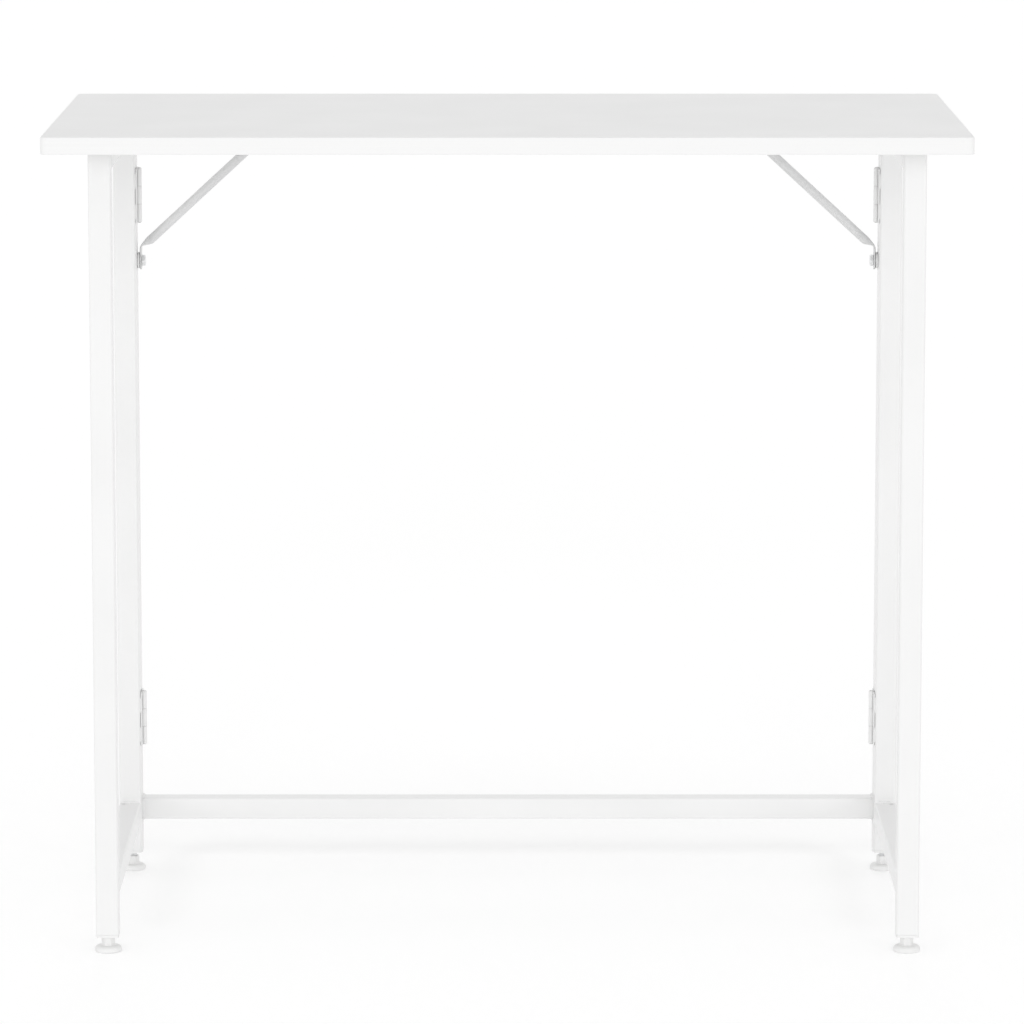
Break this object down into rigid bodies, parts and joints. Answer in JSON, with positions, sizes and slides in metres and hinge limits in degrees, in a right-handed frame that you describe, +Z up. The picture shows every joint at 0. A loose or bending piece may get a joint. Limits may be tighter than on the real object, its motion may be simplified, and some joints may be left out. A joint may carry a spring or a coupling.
{
  "type": "folding desk",
  "caption": "Slim folding desk with a thin white top tilting on braced pivot bolts, hinged tube side frames that fold against a rear frame, and levelling feet.",
  "frame": {"origin": "on the floor under the middle of the top", "axes": "+X to the right for someone who looks at the front, +Y from the front to the back, +Z up"},
  "size_m": [0.8, 0.45, 0.73],
  "materials": {
    "melamine": "white melamine-coated particle board, satin",
    "edge_band": "white plastic edge band, satin",
    "powder_coat": "white powder coat on steel, fine texture",
    "white_plastic": "moulded white plastic, matt",
    "zinc_steel": "zinc-plated steel, satin"
  },
  "bodies": {
    "rear_frame": {"rear_crossbar": "powder_coat", "left_rear_upright": "powder_coat", "left_rear_upright_cap": "white_plastic", "left_rear_upright_plug": "white_plastic", "left_upper_hinge_frame_leaf": "powder_coat", "left_upper_hinge_pin": "powder_coat", "left_lower_hinge_frame_leaf": "powder_coat", "left_lower_hinge_pin": "powder_coat", "left_pivot_bolt": "zinc_steel", "left_pivot_nut": "zinc_steel", "left_pivot_spacer": "white_plastic", "right_rear_upright": "powder_coat", "right_rear_upright_cap": "white_plastic", "right_rear_upright_plug": "white_plastic", "right_upper_hinge_frame_leaf": "powder_coat", "right_upper_hinge_pin": "powder_coat", "right_lower_hinge_frame_leaf": "powder_coat", "right_lower_hinge_pin": "powder_coat", "right_pivot_bolt": "zinc_steel", "right_pivot_nut": "zinc_steel", "right_pivot_spacer": "white_plastic"},
    "left_side_frame": {"left_front_leg": "powder_coat", "left_front_leg_cap": "white_plastic", "left_front_leg_plug": "white_plastic", "left_rear_stile": "powder_coat", "left_rear_stile_cap": "white_plastic", "left_rear_stile_plug": "white_plastic", "left_top_rail": "powder_coat", "left_bottom_rail": "powder_coat", "left_upper_hinge_leg_leaf": "powder_coat", "left_lower_hinge_leg_leaf": "powder_coat"},
    "right_side_frame": {"right_front_leg": "powder_coat", "right_front_leg_cap": "white_plastic", "right_front_leg_plug": "white_plastic", "right_rear_stile": "powder_coat", "right_rear_stile_cap": "white_plastic", "right_rear_stile_plug": "white_plastic", "right_top_rail": "powder_coat", "right_bottom_rail": "powder_coat", "right_upper_hinge_leg_leaf": "powder_coat", "right_lower_hinge_leg_leaf": "powder_coat"},
    "tabletop": {"tabletop_board": "melamine", "tabletop_edge_band": "edge_band", "left_brace": "powder_coat", "left_brace_outer_screw": "zinc_steel", "left_brace_inner_screw": "zinc_steel", "right_brace": "powder_coat", "right_brace_outer_screw": "zinc_steel", "right_brace_inner_screw": "zinc_steel"},
    "left_front_foot": {"left_front_foot_pad": "white_plastic", "left_front_foot_stem": "zinc_steel"},
    "right_front_foot": {"right_front_foot_pad": "white_plastic", "right_front_foot_stem": "zinc_steel"},
    "left_rear_foot": {"left_rear_foot_pad": "white_plastic", "left_rear_foot_stem": "zinc_steel"},
    "right_rear_foot": {"right_rear_foot_pad": "white_plastic", "right_rear_foot_stem": "zinc_steel"}
  },
  "joints": [
    {"name": "left_side_fold", "type": "hinge", "parent": "rear_frame", "child": "left_side_frame", "pos_m": [-0.3412, 0.179, 0.35], "axis": [0, 0, 1], "range_deg": [0, 90]},
    {"name": "right_side_fold", "type": "hinge", "parent": "rear_frame", "child": "right_side_frame", "pos_m": [0.3412, 0.179, 0.35], "axis": [0, 0, -1], "range_deg": [0, 90]},
    {"name": "tabletop_tilt", "type": "hinge", "parent": "rear_frame", "child": "tabletop", "pos_m": [0, 0.19, 0.578], "axis": [-1, 0, 0], "range_deg": [0, 100]},
    {"name": "left_front_level", "type": "slide", "parent": "left_side_frame", "child": "left_front_foot", "axis": [0, 0, -1], "range_m": [0, 0.01]},
    {"name": "right_front_level", "type": "slide", "parent": "right_side_frame", "child": "right_front_foot", "axis": [0, 0, -1], "range_m": [0, 0.01]},
    {"name": "left_rear_level", "type": "slide", "parent": "rear_frame", "child": "left_rear_foot", "axis": [0, 0, -1], "range_m": [0, 0.01]},
    {"name": "right_rear_level", "type": "slide", "parent": "rear_frame", "child": "right_rear_foot", "axis": [0, 0, -1], "range_m": [0, 0.01]}
  ]
}
